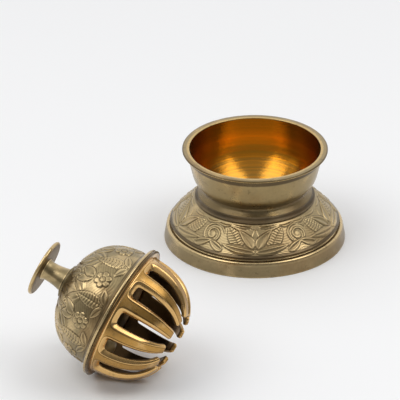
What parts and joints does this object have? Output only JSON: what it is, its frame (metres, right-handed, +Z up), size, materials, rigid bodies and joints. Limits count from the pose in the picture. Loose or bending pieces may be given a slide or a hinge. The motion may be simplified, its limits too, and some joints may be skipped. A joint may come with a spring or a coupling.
{
  "type": "claw bell with pedestal cup stand",
  "caption": "Engraved brass claw bell with a disc handle and a hanging clapper, lying beside the flared pedestal cup that it stands in.",
  "frame": {"origin": "middle of the foot's rim, on the surface that both pieces rest on", "axes": "+Z up, the cup's axis; -Y from the stand towards the lying bell, whose axis lies in a plane parallel to XZ"},
  "size_m": [0.085, 0.2021, 0.0557],
  "materials": {
    "cup_brass": "turned, tarnished outside, polished gold inside",
    "dark_brass": "tarnished",
    "engraved_brass": "chased leaves, tarnished",
    "dome_brass": "chased leaves, grey-olive tarnish",
    "claw_brass": "polished",
    "handle_brass": "turned, tarnished",
    "wire_brass": "dull drawn wire",
    "clapper_brass": "dull, worn where it strikes"
  },
  "bodies": {
    "stand": {"cup": "cup_brass", "neck_ring": "dark_brass", "foot_skirt": "engraved_brass"},
    "bell": {"dome": "dome_brass", "claw_crown": "claw_brass", "crown_collar": "dark_brass", "handle_stem": "handle_brass", "handle_disc": "handle_brass", "eye_bolt": "wire_brass", "crown_washer": "wire_brass", "crown_nut": "wire_brass"},
    "link": {"clapper_link": "wire_brass"},
    "clapper": {"clapper_rod": "wire_brass", "clapper_ball": "clapper_brass"}
  },
  "joints": [
    {"name": "bell_lift", "type": "slide", "parent": "stand", "child": "bell", "axis": [0, 0, 1], "range_m": [0, 0.12]},
    {"name": "hook_swing", "type": "hinge", "parent": "bell", "child": "link", "pos_m": [-0.01866, -0.133, 0.03311], "axis": [0, -1, 0], "range_deg": [0, 111]},
    {"name": "clapper_swing", "type": "hinge", "parent": "link", "child": "clapper", "pos_m": [-0.01751, -0.133, 0.02824], "axis": [0.9735, 0, 0.2288], "range_deg": [-20, 20]}
  ]
}
